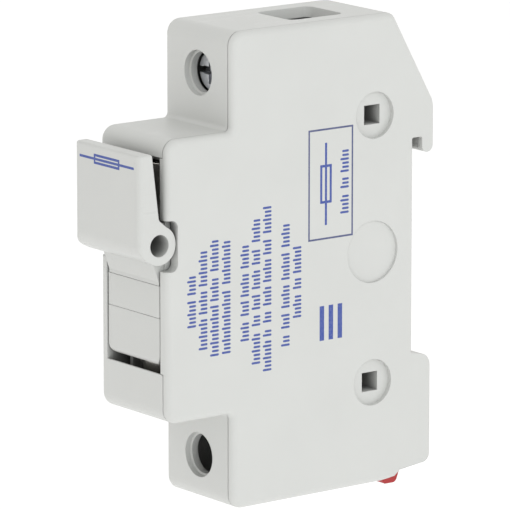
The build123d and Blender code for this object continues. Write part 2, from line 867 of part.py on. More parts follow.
# ---- Rail clip: a sliding bar with a jaw behind the rail flange and a pull lip below ----
with BuildPart() as din_clip:
    with BuildSketch(Plane.YZ.offset(-clip_half_width)):
        with BuildLine():
            FilletPolyline(
                (clip_front, clip_top),
                (clip_front, clip_bottom + clip_nose_height),
                (clip_nose_back, clip_bottom),
                (clip_lip_back - 0.9, clip_bottom),
                (clip_lip_back + 0.2, clip_lip_top),
                (clip_lip_back - 0.9, clip_lip_top),
                (clip_back - 0.2, clip_bottom + clip_lip_thickness),
                (clip_back, clip_lip_top + 2),
                (clip_back, clip_top - clip_foot_thickness),
                (jaw_clip_back, clip_top - clip_foot_thickness),
                (jaw_clip_back, jaw_clip_top),
                (jaw_clip_front, jaw_clip_top),
                (jaw_clip_front, clip_top),
                radius=[0.4, 0.6, 0.5, 0.9, 0.2, 0.4, 0.3, 0, 0.2, 0.6, 0.4, 0.4, 0.3],
                close=True,
            )
        make_face()
    extrude(amount=2 * clip_half_width)
    with BuildSketch(Plane.XZ.offset(-clip_front)):
        box_sketch((-window_half_width, window_bottom), (window_half_width, window_top))
    extrude(amount=-clip_thickness, mode=Mode.SUBTRACT)
din_clip.part.label = "din_clip"
export_step(din_clip.part, "parts/din_clip.step")

# ---- Coil spring between the housing's ledge and the clip's window ----
spring_low = ledge_top + spring_end_gap + spring_wire_r
spring_height = window_top - ledge_top - 2 * (spring_end_gap + spring_wire_r)
spring_y = clip_front + clip_thickness / 2
with BuildPart() as clip_spring:
    with BuildLine(Plane((0, spring_y, spring_low))) as coil:
        Helix(spring_height / spring_turns, spring_height, spring_coil_r)
    with BuildSketch(Plane(coil.line @ 0, z_dir=coil.line % 0)):
        Circle(spring_wire_r)
    sweep(path=coil.line)
clip_spring.part.label = "clip_spring"
export_step(clip_spring.part, "parts/clip_spring.step")

print("screw to clamp ratio, m per rad:", screw_pitch / (2 * pi) / 1000)
print("screw travel, mm:", screw_feed)
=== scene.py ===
"""Looks of the modular fuse holder: finishes, printed marks, the wound spring, the light and the camera.

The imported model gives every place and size. Lengths are in metres; MM turns millimetres into metres.
"""

import json
import logging
import math
from collections.abc import Iterable, Sequence
from dataclasses import dataclass
from enum import Enum

import bmesh
import bpy
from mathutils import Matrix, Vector


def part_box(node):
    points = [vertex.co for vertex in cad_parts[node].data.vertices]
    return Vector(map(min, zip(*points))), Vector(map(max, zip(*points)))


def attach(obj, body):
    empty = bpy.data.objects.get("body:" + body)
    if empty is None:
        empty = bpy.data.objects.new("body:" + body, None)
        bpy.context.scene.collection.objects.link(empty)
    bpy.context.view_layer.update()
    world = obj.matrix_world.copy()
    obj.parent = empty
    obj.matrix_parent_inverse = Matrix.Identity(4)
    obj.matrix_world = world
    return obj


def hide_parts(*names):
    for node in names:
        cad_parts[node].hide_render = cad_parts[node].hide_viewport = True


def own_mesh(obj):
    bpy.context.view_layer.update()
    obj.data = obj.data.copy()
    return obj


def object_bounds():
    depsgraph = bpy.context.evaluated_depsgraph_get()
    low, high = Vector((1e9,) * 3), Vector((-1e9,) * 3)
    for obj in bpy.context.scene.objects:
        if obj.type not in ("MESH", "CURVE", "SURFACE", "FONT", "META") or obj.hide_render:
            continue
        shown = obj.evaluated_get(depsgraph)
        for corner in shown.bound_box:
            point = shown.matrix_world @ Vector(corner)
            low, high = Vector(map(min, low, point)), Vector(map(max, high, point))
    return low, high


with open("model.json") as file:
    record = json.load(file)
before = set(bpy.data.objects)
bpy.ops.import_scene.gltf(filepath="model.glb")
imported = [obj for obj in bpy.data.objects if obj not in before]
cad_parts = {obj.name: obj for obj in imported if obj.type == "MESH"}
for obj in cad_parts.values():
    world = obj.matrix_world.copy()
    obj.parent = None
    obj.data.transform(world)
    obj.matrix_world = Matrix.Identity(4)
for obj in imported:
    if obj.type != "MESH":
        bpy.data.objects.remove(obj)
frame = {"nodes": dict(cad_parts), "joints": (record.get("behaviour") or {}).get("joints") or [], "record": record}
CAD_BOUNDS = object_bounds()

MM = 0.001
MIDDLE = 0.5  # the middle of a noise texture's range
LOG = logging.getLogger("fuse_holder")

Colour = tuple[float, float, float]
Point = tuple[float, float]
Place = tuple[float, float, float]
Tree = bpy.types.NodeTree
Socket = bpy.types.NodeSocket
Value = Socket | float
Mesh = bmesh.types.BMesh
Piece = bpy.types.Object


class Side(Enum):
    """The two ends of the holder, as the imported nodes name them."""

    UPPER = "upper"
    LOWER = "lower"


class Body(Enum):
    """The bodies that the extra pieces ride on."""

    HOUSING = "housing"
    CARRIER = "carrier"


# ---------------------------------------------------------------- shader helpers


def link(tree: Tree, source: Socket, target: Socket) -> None:
    """Joins two sockets of a node tree."""
    tree.links.new(source, target)


def new_group(name: str, inputs: dict[str, float], outputs: dict[str, str]) -> Tree:
    """Starts a shader node group with float inputs and the named outputs.

    Args:
        name: The group's name.
        inputs: Each input's name and default value.
        outputs: Each output's name and socket type.

    Returns:
        The group, with its input and output nodes named "in" and "out".
    """
    group = bpy.data.node_groups.new(name, "ShaderNodeTree")
    for label, value in inputs.items():
        socket = group.interface.new_socket(label, in_out="INPUT", socket_type="NodeSocketFloat")
        socket.default_value = value
    for label, kind in outputs.items():
        group.interface.new_socket(label, in_out="OUTPUT", socket_type=kind)
    group.nodes.new("NodeGroupInput").name = "in"
    group.nodes.new("NodeGroupOutput").name = "out"
    return group


def add_math(tree: Tree, operation: str, first: Value, second: Value = 0.0) -> Socket:
    """Adds a Math node.

    Args:
        tree: The tree that gets the node.
        operation: The Math node's operation.
        first: A socket or a number.
        second: A socket or a number; an operation on one value ignores it.

    Returns:
        The node's output.
    """
    node = tree.nodes.new("ShaderNodeMath")
    node.operation = operation
    for index, value in enumerate((first, second)):
        if isinstance(value, Socket):
            link(tree, value, node.inputs[index])
        else:
            node.inputs[index].default_value = value
    return node.outputs[0]


def clamped(tree: Tree, value: Socket) -> Socket:
    """Keeps a value between 0 and 1.

    Args:
        tree: The tree that gets the node.
        value: The value.

    Returns:
        The clamped value.
    """
    clamp = tree.nodes.new("ShaderNodeClamp")
    link(tree, value, clamp.inputs["Value"])
    return clamp.outputs[0]


def noise(tree: Tree, size: Value, detail: float, stretch: Sequence[float] = (1, 1, 1)) -> Socket:
    """Adds noise in object space.

    Args:
        tree: The tree that gets the nodes.
        size: The width of one blob, in metres.
        detail: The noise's detail.
        stretch: How much finer the noise is along each axis.

    Returns:
        The noise's value.
    """
    coordinates = tree.nodes.new("ShaderNodeTexCoord")
    mapping = tree.nodes.new("ShaderNodeMapping")
    mapping.inputs["Scale"].default_value = stretch
    texture = tree.nodes.new("ShaderNodeTexNoise")
    texture.inputs["Detail"].default_value = detail
    link(tree, coordinates.outputs["Object"], mapping.inputs["Vector"])
    link(tree, mapping.outputs[0], texture.inputs["Vector"])
    link(tree, add_math(tree, "DIVIDE", 1.0, size), texture.inputs["Scale"])
    return texture.outputs["Fac"]


def spark_grain_group() -> Tree:
    """The spark-eroded texture of a mould, as a height.

    Returns:
        The group, with a Height output between 0 and 1.
    """
    coarse_ratio = 4.0
    fine_share = 0.7
    group = new_group("spark_grain", {"Size": 0.2 * MM}, {"Height": "NodeSocketFloat"})
    size = group.nodes["in"].outputs["Size"]
    fine = noise(group, size, detail=3.0)
    coarse = noise(group, add_math(group, "MULTIPLY", size, coarse_ratio), detail=2.0)
    weighed_fine = add_math(group, "MULTIPLY", fine, fine_share)
    weighed_coarse = add_math(group, "MULTIPLY", coarse, 1.0 - fine_share)
    mixed = add_math(group, "ADD", weighed_fine, weighed_coarse)
    link(group, mixed, group.nodes["out"].inputs["Height"])
    return group


def mottle_group() -> Tree:
    """Slow, soft variation from handling and moulding flow, as a mask.

    Returns:
        The group, with a Mask output between 0 and 1.
    """
    group = new_group("mottle", {"Size": 9 * MM, "Contrast": 1.6}, {"Mask": "NodeSocketFloat"})
    start, end = group.nodes["in"], group.nodes["out"]
    value = noise(group, start.outputs["Size"], detail=4.0)
    centred = add_math(group, "SUBTRACT", value, MIDDLE)
    spread = add_math(group, "MULTIPLY", centred, start.outputs["Contrast"])
    link(group, clamped(group, add_math(group, "ADD", spread, MIDDLE)), end.inputs["Mask"])
    return group


def soft_edge_group() -> Tree:
    """Small moulded or worn radii on sharp edges.

    Returns:
        The group, with the rounded Normal, and a Mask that is high along the edges, which the finishes use for a
        painted highlight.
    """
    mask_gain = 4.0
    outputs = {"Normal": "NodeSocketVector", "Mask": "NodeSocketFloat"}
    group = new_group("soft_edge", {"Radius": 0.2 * MM}, outputs)
    start, end = group.nodes["in"], group.nodes["out"]
    bevel = group.nodes.new("ShaderNodeBevel")
    bevel.samples = 6
    geometry = group.nodes.new("ShaderNodeNewGeometry")
    dot = group.nodes.new("ShaderNodeVectorMath")
    dot.operation = "DOT_PRODUCT"
    link(group, start.outputs["Radius"], bevel.inputs["Radius"])
    link(group, bevel.outputs[0], dot.inputs[0])
    link(group, geometry.outputs["Normal"], dot.inputs[1])
    bend = add_math(group, "SUBTRACT", 1.0, dot.outputs["Value"])
    link(group, bevel.outputs[0], end.inputs["Normal"])
    link(group, clamped(group, add_math(group, "MULTIPLY", bend, mask_gain)), end.inputs["Mask"])
    return group


def drawn_marks_group() -> Tree:
    """Fine lines that a roller or die leaves along one axis of a metal part.

    Returns:
        The group, with a Height and a wider Mask, both between 0 and 1.
    """
    along_z = (1.0, 1.0, 0.04)
    cloud_ratio = 14.0
    outputs = {"Height": "NodeSocketFloat", "Mask": "NodeSocketFloat"}
    group = new_group("drawn_marks", {"Size": 0.15 * MM}, outputs)
    size, end = group.nodes["in"].outputs["Size"], group.nodes["out"]
    link(group, noise(group, size, detail=2.0, stretch=along_z), end.inputs["Height"])
    cloud_size = add_math(group, "MULTIPLY", size, cloud_ratio)
    link(group, noise(group, cloud_size, detail=3.0), end.inputs["Mask"])
    return group


def scuffs_group() -> Tree:
    """Hairline scratches from handling, in two directions.

    Returns:
        The group, with a Mask that is high on a scratch.
    """
    directions = ((1.0, 0.06, 1.0), (1.0, 1.0, 0.05))
    patch_ratio = 6.0
    patch_threshold = 0.54
    group = new_group("scuffs", {"Size": 1.2 * MM, "Amount": 0.05}, {"Mask": "NodeSocketFloat"})
    start, end = group.nodes["in"], group.nodes["out"]
    mask: Value = 0.0
    for stretch in directions:
        value = noise(group, start.outputs["Size"], detail=2.0, stretch=stretch)
        distance = add_math(group, "ABSOLUTE", add_math(group, "SUBTRACT", value, MIDDLE))
        thin = add_math(group, "DIVIDE", distance, start.outputs["Amount"])
        scratch = clamped(group, add_math(group, "SUBTRACT", 1.0, thin))
        mask = add_math(group, "MAXIMUM", scratch, mask)
    patch_size = add_math(group, "MULTIPLY", start.outputs["Size"], patch_ratio)
    gate = add_math(group, "GREATER_THAN", noise(group, patch_size, detail=2.0), patch_threshold)
    link(group, add_math(group, "MULTIPLY", mask, gate), end.inputs["Mask"])
    return group


def painted_cavity_shade_group() -> Tree:
    """Painted shade inside closed cavities: the colour goes darker where little light gets in.

    Returns:
        The group, with a Mask of painted shade that is high deep inside the part only.
    """
    group = new_group("painted_cavity_shade", {"Reach": 16 * MM, "Open": 0.34}, {"Mask": "NodeSocketFloat"})
    start, end = group.nodes["in"], group.nodes["out"]
    opening = group.nodes.new("ShaderNodeAmbientOcclusion")
    opening.samples = 12
    link(group, start.outputs["Reach"], opening.inputs["Distance"])
    openness = add_math(group, "DIVIDE", opening.outputs["AO"], start.outputs["Open"])
    link(group, clamped(group, add_math(group, "SUBTRACT", 1.0, openness)), end.inputs["Mask"])
    return group


class Effects:
    """The shared shader groups, each built once."""

    def __init__(self) -> None:
        """Builds the groups."""
        self.spark_grain = spark_grain_group()
        self.mottle = mottle_group()
        self.soft_edge = soft_edge_group()
        self.drawn_marks = drawn_marks_group()
        self.scuffs = scuffs_group()
        self.painted_cavity_shade = painted_cavity_shade_group()

    @staticmethod
    def place(tree: Tree, group: Tree, **values: float) -> bpy.types.Node:
        """Places a group in a material.

        Args:
            tree: The material's tree.
            group: The effect.
            **values: Input values by name.

        Returns:
            The group node.
        """
        node = tree.nodes.new("ShaderNodeGroup")
        node.node_tree = group
        for label, value in values.items():
            node.inputs[label].default_value = value
        return node


def start_material(name: str) -> tuple[bpy.types.Material, Tree, bpy.types.Node]:
    """Makes a node material.

    Args:
        name: The material's name.

    Returns:
        The material, its tree and its Principled shader.
    """
    material = bpy.data.materials.new(name)
    material.use_nodes = True
    tree = material.node_tree
    shader = next(node for node in tree.nodes if node.type == "BSDF_PRINCIPLED")
    return material, tree, shader


def mix_colours(tree: Tree, mask: Socket, low: Colour | Socket, high: Colour) -> Socket:
    """Mixes two colours by a mask.

    Args:
        tree: The material's tree.
        mask: 0 gives low, 1 gives high.
        low: A colour or a colour socket.
        high: A colour.

    Returns:
        The mixed colour.
    """
    mix = tree.nodes.new("ShaderNodeMix")
    mix.data_type = "RGBA"
    link(tree, mask, mix.inputs["Factor"])
    if isinstance(low, Socket):
        link(tree, low, mix.inputs["A"])
    else:
        mix.inputs["A"].default_value = (*low, 1.0)
    mix.inputs["B"].default_value = (*high, 1.0)
    return mix.outputs["Result"]


def spread_value(tree: Tree, value: Socket, low: float, high: float, span: Point = (0.0, 1.0)) -> Socket:
    """Maps a value to the range from low to high, and holds it there.

    Args:
        tree: The tree that gets the node.
        value: The value.
        low: The result at the start of the span.
        high: The result at its end.
        span: The values that give low and high.

    Returns:
        The mapped value.
    """
    ranged = tree.nodes.new("ShaderNodeMapRange")
    ranged.inputs["From Min"].default_value = span[0]
    ranged.inputs["From Max"].default_value = span[1]
    ranged.inputs["To Min"].default_value = low
    ranged.inputs["To Max"].default_value = high
    link(tree, value, ranged.inputs["Value"])
    return ranged.outputs["Result"]


def add_bump(
    tree: Tree, shader: bpy.types.Node, height: Socket, depth: float, base: Socket | None = None
) -> None:
    """Gives a shader a bumped normal.

    Args:
        tree: The material's tree.
        shader: The Principled shader.
        height: The bump's height, between 0 and 1.
        depth: The height of 1, in metres.
        base: A normal to bump, instead of the surface's own.
    """
    bump = tree.nodes.new("ShaderNodeBump")
    bump.inputs["Strength"].default_value = 1.0
    bump.inputs["Distance"].default_value = depth
    link(tree, height, bump.inputs["Height"])
    if base is not None:
        link(tree, base, bump.inputs["Normal"])
    link(tree, bump.outputs[0], shader.inputs["Normal"])


# ---------------------------------------------------------------- finishes


def shade(colour: Colour, factor: float) -> Colour:
    """A colour made darker or lighter by a factor."""
    return tuple(min(1.0, channel * factor) for channel in colour)


@dataclass(frozen=True)
class MouldedPlastic:
    """Injection moulded plastic with a spark-eroded surface, softened edges, a painted highlight along the edges
    and painted shade in cavities.
    """

    name: str
    colour: Colour
    roughness: float = 0.42
    # colour factor of the painted highlight along the edges
    painted_edge_highlight: float = 1.03
    edge_radius: float = 0.18 * MM
    grain_size: float = 0.16 * MM
    grain_depth: float = 0.006 * MM
    mottle_size: float = 11 * MM
    mottle_contrast: float = 1.5
    mottle_dark: float = 0.975
    mottle_light: float = 1.02
    glossier: float = 0.05
    duller: float = 0.06
    scuff_size: float = 1.6 * MM
    scuff_width: float = 0.03
    scuff_polish: float = 0.12
    # colour factor of the painted shade deep inside cavities
    deep_shade: float = 0.2
    specular: float = 0.45
    refraction: float = 1.5

    def material(self, effects: Effects) -> bpy.types.Material:
        """Builds the finish.

        Args:
            effects: The shared groups.

        Returns:
            The material.
        """
        material, tree, shader = start_material(self.name)
        mottle = effects.place(tree, effects.mottle, Size=self.mottle_size, Contrast=self.mottle_contrast)
        grain = effects.place(tree, effects.spark_grain, Size=self.grain_size)
        edge = effects.place(tree, effects.soft_edge, Radius=self.edge_radius)
        painted_cavity_shade = effects.place(tree, effects.painted_cavity_shade)
        scuffs = effects.place(tree, effects.scuffs, Size=self.scuff_size, Amount=self.scuff_width)
        dark, light = shade(self.colour, self.mottle_dark), shade(self.colour, self.mottle_light)
        body = mix_colours(tree, mottle.outputs["Mask"], dark, light)
        # Painted highlight: the colour is lighter along the edges.
        with_edge_highlight = mix_colours(tree, edge.outputs["Mask"], body, shade(self.colour, self.painted_edge_highlight))
        # Painted shade: deep inside cavities the colour goes dark, where ambient occlusion finds them shut in.
        with_painted_shade = mix_colours(tree, painted_cavity_shade.outputs["Mask"], with_edge_highlight, shade(self.colour, self.deep_shade))
        link(tree, with_painted_shade, shader.inputs["Base Color"])
        glossy, dull = self.roughness - self.glossier, self.roughness + self.duller
        rough = spread_value(tree, mottle.outputs["Mask"], glossy, dull)
        rubbed = add_math(tree, "MULTIPLY", scuffs.outputs["Mask"], self.scuff_polish)
        link(tree, add_math(tree, "SUBTRACT", rough, rubbed), shader.inputs["Roughness"])
        shader.inputs["Specular IOR Level"].default_value = self.specular
        shader.inputs["IOR"].default_value = self.refraction
        add_bump(tree, shader, grain.outputs["Height"], self.grain_depth, edge.outputs["Normal"])
        return material


@dataclass(frozen=True)
class WorkedMetal:
    """Plated or drawn metal with tool marks, cloudy plating and a painted highlight along the edges."""

    name: str
    colour: Colour
    tarnish: Colour
    roughness: float = 0.3
    tarnish_dulls: float = 0.1
    plating_shines: float = 0.06
    # colour factor of the painted highlight along the edges
    painted_edge_glint: float = 1.15
    edge_radius: float = 0.12 * MM
    mark_size: float = 0.12 * MM
    mark_depth: float = 0.004 * MM

    def material(self, effects: Effects) -> bpy.types.Material:
        """Builds the finish.

        Args:
            effects: The shared groups.

        Returns:
            The material.
        """
        material, tree, shader = start_material(self.name)
        marks = effects.place(tree, effects.drawn_marks, Size=self.mark_size)
        edge = effects.place(tree, effects.soft_edge, Radius=self.edge_radius)
        cloud = mix_colours(tree, marks.outputs["Mask"], self.tarnish, self.colour)
        # Painted highlight: the colour is lighter along the edges.
        glinted = mix_colours(tree, edge.outputs["Mask"], cloud, shade(self.colour, self.painted_edge_glint))
        link(tree, glinted, shader.inputs["Base Color"])
        shader.inputs["Metallic"].default_value = 1.0
        dull, shiny = self.roughness + self.tarnish_dulls, self.roughness - self.plating_shines
        link(tree, spread_value(tree, marks.outputs["Mask"], dull, shiny), shader.inputs["Roughness"])
        add_bump(tree, shader, marks.outputs["Height"], self.mark_depth, edge.outputs["Normal"])
        return material


@dataclass(frozen=True)
class MattMineral:
    """Unglazed ceramic or packed sand: no metal, coarse pores."""

    name: str
    light: Colour
    dark: Colour
    roughness: float
    pore_size: float
    pore_depth: float
    roughness_swing: float = 0.08
    mottle_ratio: float = 12.0
    mottle_contrast: float = 2.0

    def material(self, effects: Effects) -> bpy.types.Material:
        """Builds the finish.

        Args:
            effects: The shared groups.

        Returns:
            The material.
        """
        material, tree, shader = start_material(self.name)
        mottle_size = self.pore_size * self.mottle_ratio
        pores = effects.place(tree, effects.spark_grain, Size=self.pore_size)
        mottle = effects.place(tree, effects.mottle, Size=mottle_size, Contrast=self.mottle_contrast)
        colour = mix_colours(tree, mottle.outputs["Mask"], self.dark, self.light)
        link(tree, colour, shader.inputs["Base Color"])
        low, high = self.roughness - self.roughness_swing, self.roughness + self.roughness_swing
        link(tree, spread_value(tree, pores.outputs["Height"], low, high), shader.inputs["Roughness"])
        add_bump(tree, shader, pores.outputs["Height"], self.pore_depth)
        return material


@dataclass(frozen=True)
class PrintedInk:
    """Pad-printed ink: thin, slightly glossy, with pinholes that let the plastic through."""

    name: str
    colour: Colour
    under: Colour
    roughness: float = 0.35
    pinhole_size: float = 0.16 * MM
    pinhole_contrast: float = 5.0
    pinhole_show: float = 0.12
    pinhole_dulls: float = 0.15
    depth: float = 0.002 * MM

    def material(self, effects: Effects) -> bpy.types.Material:
        """Builds the finish.

        Args:
            effects: The shared groups.

        Returns:
            The material.
        """
        material, tree, shader = start_material(self.name)
        size, contrast = self.pinhole_size, self.pinhole_contrast
        pinholes = effects.place(tree, effects.mottle, Size=size, Contrast=contrast).outputs["Mask"]
        density = add_math(tree, "MULTIPLY", pinholes, self.pinhole_show)
        link(tree, mix_colours(tree, density, self.colour, self.under), shader.inputs["Base Color"])
        rough = spread_value(tree, pinholes, self.roughness, self.roughness + self.pinhole_dulls)
        link(tree, rough, shader.inputs["Roughness"])
        add_bump(tree, shader, pinholes, self.depth)
        return material


@dataclass(frozen=True)
class BandedSleeve:
    """The printed sleeve of the fuse: pale, with plain rings at given heights."""

    name: str
    paper: Colour
    ring: Colour
    ring_heights: tuple[float, ...]
    ring_half_height: float
    roughness: float = 0.4
    fibre_dulls: float = 0.15
    fibre_shade: float = 0.95
    fibre_size: float = 0.5 * MM
    fibre_contrast: float = 2.0
    fibre_depth: float = 0.004 * MM

    def material(self, effects: Effects) -> bpy.types.Material:
        """Builds the finish.

        Args:
            effects: The shared groups.

        Returns:
            The material.
        """
        material, tree, shader = start_material(self.name)
        coordinates = tree.nodes.new("ShaderNodeTexCoord")
        split = tree.nodes.new("ShaderNodeSeparateXYZ")
        link(tree, coordinates.outputs["Object"], split.inputs[0])
        rings: Value = 0.0
        for height in self.ring_heights:
            distance = add_math(tree, "ABSOLUTE", add_math(tree, "SUBTRACT", split.outputs["Z"], height))
            inside = add_math(tree, "LESS_THAN", distance, self.ring_half_height)
            rings = add_math(tree, "MAXIMUM", inside, rings)
        size, contrast = self.fibre_size, self.fibre_contrast
        fibres = effects.place(tree, effects.mottle, Size=size, Contrast=contrast).outputs["Mask"]
        paper = mix_colours(tree, fibres, shade(self.paper, self.fibre_shade), self.paper)
        link(tree, mix_colours(tree, rings, paper, self.ring), shader.inputs["Base Color"])
        rough = spread_value(tree, fibres, self.roughness, self.roughness + self.fibre_dulls)
        link(tree, rough, shader.inputs["Roughness"])
        add_bump(tree, shader, fibres, self.fibre_depth)
        return material


class Finishes:
    """Every finish of the holder, built once."""

    HOUSING_GREY: Colour = (0.635, 0.64, 0.622)
    CLIP_RED: Colour = (0.42, 0.026, 0.028)
    PLATED_STEEL: Colour = (0.8, 0.81, 0.83)

    def __init__(self, effects: Effects) -> None:
        """Builds the materials.

        Args:
            effects: The shared groups.
        """
        self.effects = effects
        grey, steel = self.HOUSING_GREY, self.PLATED_STEEL
        recipes = {
            "housing_plastic": MouldedPlastic("housing_grey", grey),
            "carrier_plastic": MouldedPlastic("carrier_grey", shade(grey, 0.98), roughness=0.4),
            "handle_plastic": MouldedPlastic("handle_grey", shade(grey, 0.985), roughness=0.38),
            # the clip gets a stronger painted highlight along its edges
            "clip_plastic": MouldedPlastic("clip_red", self.CLIP_RED, roughness=0.36, painted_edge_highlight=1.25),
            "spring_steel": WorkedMetal("spring_steel", (0.5, 0.5, 0.51), (0.3, 0.3, 0.32)),
            "tinned_copper": WorkedMetal("tinned_copper", (0.78, 0.75, 0.7), (0.6, 0.55, 0.5), 0.34),
            "zinc_steel": WorkedMetal("zinc_plate", steel, (0.52, 0.54, 0.6), 0.34),
            "screw_steel": WorkedMetal("screw_plate", steel, (0.62, 0.63, 0.67), 0.38),
            "cap_nickel": WorkedMetal("nickel_cap", (0.76, 0.74, 0.7), (0.6, 0.58, 0.54), 0.2),
            "element_silver": WorkedMetal("silver_strip", (0.9, 0.88, 0.84), (0.7, 0.68, 0.64)),
            "solder_tin": WorkedMetal("solder", (0.6, 0.6, 0.6), (0.4, 0.4, 0.41), 0.4),
            "fuse_body": MattMineral(
                "ceramic_tube", (0.84, 0.82, 0.77), (0.78, 0.76, 0.7), 0.6, 0.12 * MM, 0.006 * MM
            ),
            "quartz_sand": MattMineral(
                "quartz_sand", (0.78, 0.74, 0.66), (0.55, 0.5, 0.42), 0.8, 0.25 * MM, 0.06 * MM
            ),
        }
        self.by_slot = {slot: finish.material(effects) for slot, finish in recipes.items()}
        self.slot_of = {row["node"]: row["material_slot"] for row in frame["record"]["subparts"]}
        self.ink = PrintedInk("blue_ink", (0.022, 0.06, 0.33), grey).material(effects)
        self.faint_ink = PrintedInk("thin_blue_ink", (0.06, 0.075, 0.2), grey).material(effects)

    def dress(self, name: str) -> None:
        """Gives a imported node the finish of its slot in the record.

        Args:
            name: The node's name.
        """
        slots = frame["nodes"][name].data.materials
        slots.clear()
        slots.append(self.by_slot[self.slot_of[name]])


# ---------------------------------------------------------------- mesh helpers


def mesh_object(name: str, mesh: Mesh, material: bpy.types.Material) -> Piece:
    """Turns a bmesh into an object in the scene.

    Args:
        name: The piece's name.
        mesh: The finished bmesh, which is freed.
        material: The piece's finish.

    Returns:
        The object.
    """
    bmesh.ops.recalc_face_normals(mesh, faces=mesh.faces)
    data = bpy.data.meshes.new(name)
    mesh.to_mesh(data)
    mesh.free()
    data.materials.append(material)
    piece = bpy.data.objects.new(name, data)
    bpy.context.scene.collection.objects.link(piece)
    return piece


def shade_smooth(piece: Piece) -> None:
    """Shades every face of a piece smooth."""
    piece.data.polygons.foreach_set("use_smooth", [True] * len(piece.data.polygons))


def circle_angles(count: int) -> list[float]:
    """Angles at even steps round a full circle."""
    return [2 * math.pi * k / count for k in range(count)]


def tube_along(mesh: Mesh, path: Sequence[Vector], radius: float, sides: int) -> None:
    """Adds a round wire with closed ends.

    Args:
        mesh: The bmesh that gets the wire.
        path: The wire's centreline.
        radius: The wire's radius.
        sides: Corners of its section.
    """
    rings = []
    side = Vector((0, 0, 1)).cross(path[1] - path[0]).normalized()
    for index, point in enumerate(path):
        ahead = path[min(index + 1, len(path) - 1)] - path[max(index - 1, 0)]
        ahead.normalize()
        side = (side - ahead * side.dot(ahead)).normalized()
        other = ahead.cross(side)
        spokes = [side * math.cos(angle) + other * math.sin(angle) for angle in circle_angles(sides)]
        rings.append([mesh.verts.new(point + spoke * radius) for spoke in spokes])
    for near, far in zip(rings, rings[1:]):
        for k in range(sides):
            after = (k + 1) % sides
            mesh.faces.new((near[k], near[after], far[after], far[k]))
    mesh.faces.new(rings[0])
    mesh.faces.new(list(reversed(rings[-1])))


@dataclass(frozen=True)
class FlatPrinter:
    """Lays thin closed patches of ink on a flat face.

    Points are (across, up) in the face, where across and up are unit vectors at right angles.
    """

    origin: Vector
    across: Vector
    up: Vector
    thickness: float = 0.006 * MM
    end_steps: int = 6

    def out(self) -> Vector:
        """The face's outward normal."""
        return self.across.cross(self.up)

    def patch(self, mesh: Mesh, outline: Iterable[Point]) -> None:
        """Adds one patch.

        Args:
            mesh: The bmesh that gets it.
            outline: Its corners, in order.
        """
        floor = [self.origin + self.across * a + self.up * b for a, b in outline]
        lift = self.out() * self.thickness
        low = [mesh.verts.new(p) for p in floor]
        high = [mesh.verts.new(p + lift) for p in floor]
        mesh.faces.new(list(reversed(low)))
        mesh.faces.new(high)
        for k in range(len(low)):
            after = (k + 1) % len(low)
            mesh.faces.new((low[k], low[after], high[after], high[k]))

    def bar(self, mesh: Mesh, start: Point, end: Point, width: float) -> None:
        """Adds a stroke with round ends.

        Args:
            mesh: The bmesh that gets it.
            start: Centre of its first end.
            end: Centre of its last end.
            width: The stroke's width.
        """
        heading = math.atan2(end[1] - start[1], end[0] - start[0])
        radius = width / 2
        outline = []
        for centre, first in ((end, heading - math.pi / 2), (start, heading + math.pi / 2)):
            for k in range(self.end_steps + 1):
                angle = first + math.pi * k / self.end_steps
                outline.append((centre[0] + math.cos(angle) * radius, centre[1] + math.sin(angle) * radius))
        self.patch(mesh, outline)

    def block(self, mesh: Mesh, low: Point, high: Point) -> None:
        """Adds a filled rectangle.

        Args:
            mesh: The bmesh that gets it.
            low: Its lowest corner.
            high: Its highest corner.
        """
        self.patch(mesh, (low, (high[0], low[1]), high, (low[0], high[1])))

    def border(self, mesh: Mesh, low: Point, high: Point, width: float) -> None:
        """Adds a rectangle's outline as four strokes that meet at mitred corners.

        Args:
            mesh: The bmesh that gets it.
            low: Its lowest outer corner.
            high: Its highest outer corner.
            width: The stroke's width.
        """
        outer = [low, (high[0], low[1]), high, (low[0], high[1])]
        inner = [
            (low[0] + width, low[1] + width),
            (high[0] - width, low[1] + width),
            (high[0] - width, high[1] - width),
            (low[0] + width, high[1] - width),
        ]
        for k in range(4):
            after = (k + 1) % 4
            self.patch(mesh, (outer[k], outer[after], inner[after], inner[k]))


@dataclass(frozen=True)
class FuseSymbol:
    """The standard circuit symbol of a fuse: a long box with a line through it."""

    centre: Point
    half_length: float
    half_width: float
    reach: float
    stroke: float
    upright: bool = False

    def point(self, along: float, beside: float) -> Point:
        """A point of the face, from its places along and beside the symbol's line."""
        across, up = (beside, along) if self.upright else (along, beside)
        return (self.centre[0] + across, self.centre[1] + up)

    def draw(self, printer: FlatPrinter, mesh: Mesh) -> None:
        """Prints the symbol.

        Args:
            printer: The face's printer.
            mesh: The bmesh that gets it.
        """
        low = self.point(-self.half_length, -self.half_width)
        high = self.point(self.half_length, self.half_width)
        printer.border(mesh, low, high, self.stroke)
        inside = self.half_length - self.stroke
        spans = ((-self.reach, -self.half_length), (-inside, inside), (self.half_length, self.reach))
        for start, end in spans:
            printer.block(mesh, self.point(start, -self.stroke / 2), self.point(end, self.stroke / 2))


# ---------------------------------------------------------------- sub-assemblies


@dataclass
class SubAssembly:
    """Pieces that are dressed and built together."""

    finishes: Finishes

    def nodes(self) -> tuple[str, ...]:
        """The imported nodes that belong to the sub-assembly."""
        return ()

    def extras(self) -> list[Piece]:
        """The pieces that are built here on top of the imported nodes."""
        return []

    def build(self) -> list[Piece]:
        """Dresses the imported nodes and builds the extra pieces.

        Returns:
            The extra pieces.
        """
        for name in self.nodes():
            self.finishes.dress(name)
        pieces = self.extras()
        LOG.info("%s: %d nodes, %d pieces", type(self).__name__, len(self.nodes()), len(pieces))
        return pieces


@dataclass(frozen=True)
class PrintedLine:
    """A line of plain ticks up the side: its place across, its ends and the lengths of its groups."""

    across: float
    low: float
    high: float
    groups: tuple[float, ...]


